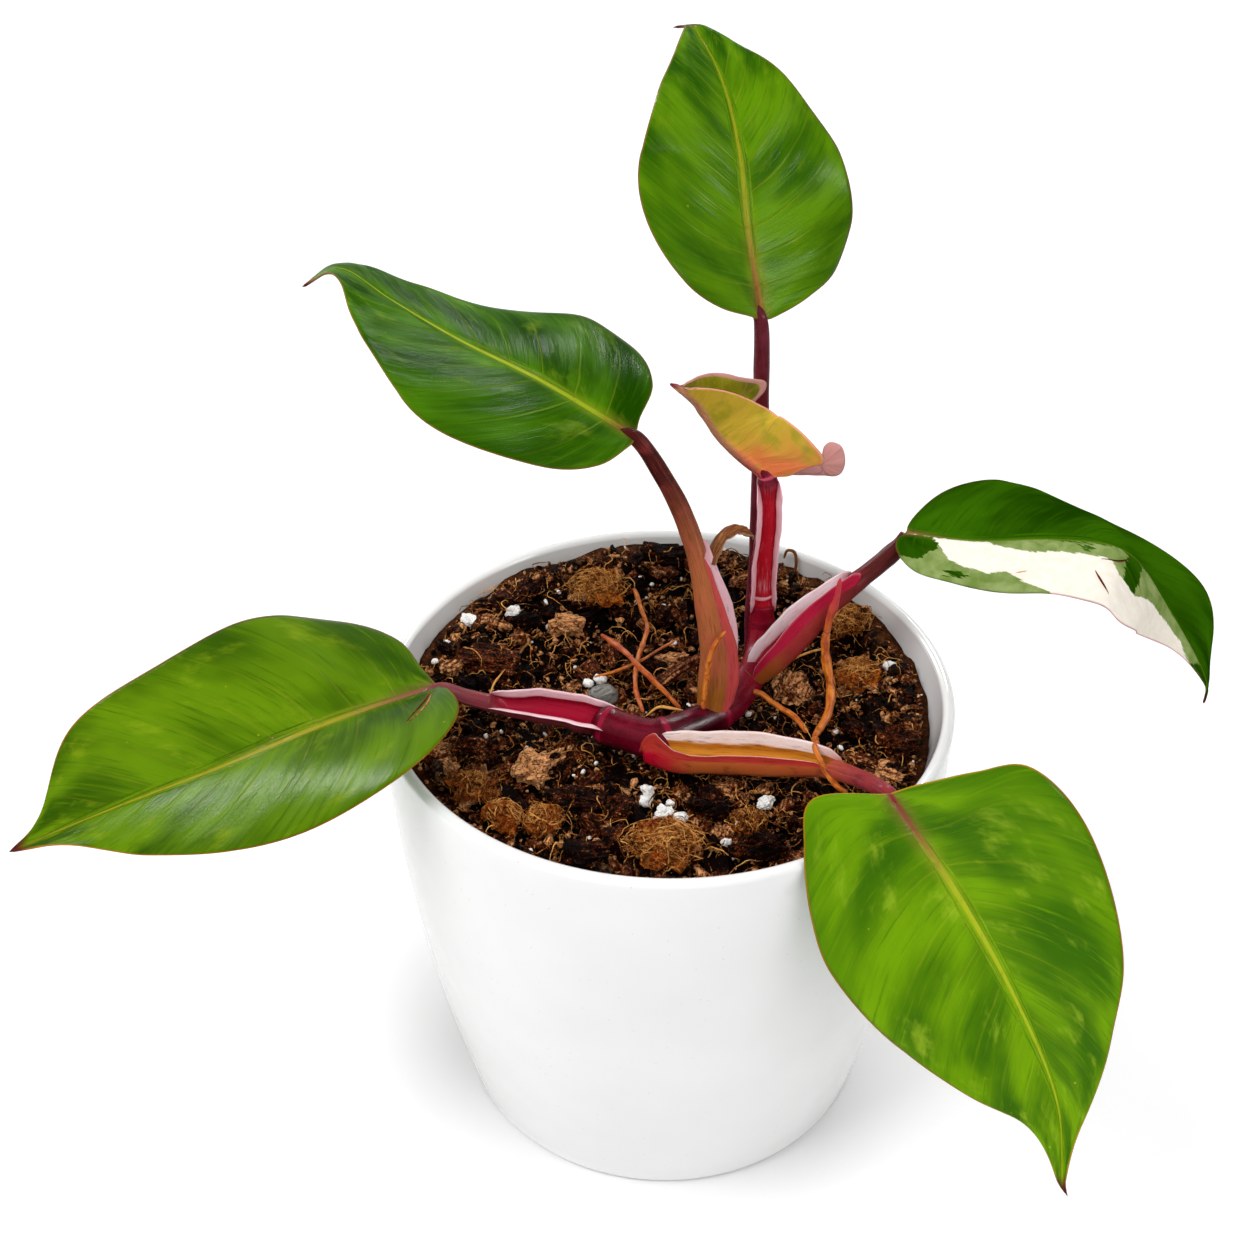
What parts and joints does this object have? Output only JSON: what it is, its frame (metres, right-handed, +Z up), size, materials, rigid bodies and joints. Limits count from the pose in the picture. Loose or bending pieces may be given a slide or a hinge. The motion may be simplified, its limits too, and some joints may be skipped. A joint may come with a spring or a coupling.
{
  "type": "potted philodendron",
  "caption": "Young philodendron with a creeping stem, sheathed stalks and heart-shaped leaves, one of them variegated, in a round white glazed pot.",
  "frame": {"origin": "centre of the pot's flat foot, on the surface that it stands on", "axes": "+Z up along the pot's axis; the front of the plant, where a leaf hangs over the rim, faces -Y; the variegated leaf is towards +X and the long drooping leaf towards -X"},
  "size_m": [0.2814, 0.1684, 0.2503],
  "materials": {
    "glaze": "gloss",
    "mix": "matte",
    "bark": "matte",
    "coir": "matte",
    "perlite": "matte",
    "stone": "matte",
    "stem": "satin",
    "stalk": "satin",
    "leaf": "gloss",
    "young_leaf": "satin",
    "root": "satin",
    "husk": "matte"
  },
  "bodies": {
    "root": {"pot": "glaze", "potting_mix": "mix", "creeping_stem": "stem", "stalk_left": "stalk", "stalk_front": "stalk", "stalk_upper": "stalk", "stalk_rear": "stalk", "stalk_right": "stalk", "stalk_new": "stalk", "leaf_left": "leaf", "leaf_front": "leaf", "leaf_upper": "leaf", "leaf_rear": "leaf", "leaf_variegated": "leaf", "leaf_new": "young_leaf", "root_hanging": "root", "root_right": "root", "root_front": "root", "root_long": "root", "root_hooked": "root", "root_upper": "root", "root_thread": "root", "dry_tendril": "root", "dry_husk": "husk", "bark_strip": "bark", "bark_tan": "bark", "bark_left": "bark", "bark_long": "bark", "bark_round": "bark", "bark_edge": "bark", "bark_peak": "bark", "bark_dark": "bark", "bark_red": "bark", "bark_far_left": "bark", "bark_back_left": "bark", "bark_pale": "bark", "bark_rear": "bark", "bark_rear_left": "bark", "bark_grey": "bark", "bark_right": "bark", "bark_tan_right": "bark", "bark_right_rear": "bark", "coir_clump_left": "coir", "coir_clump_mid": "coir", "coir_block": "coir", "coir_tuft": "coir", "coir_right": "coir", "grey_stone": "stone", "perlite_front": "perlite", "perlite_centre": "perlite", "perlite_near_stem": "perlite", "perlite_left": "perlite", "perlite_rear": "perlite"}
  },
  "joints": []
}
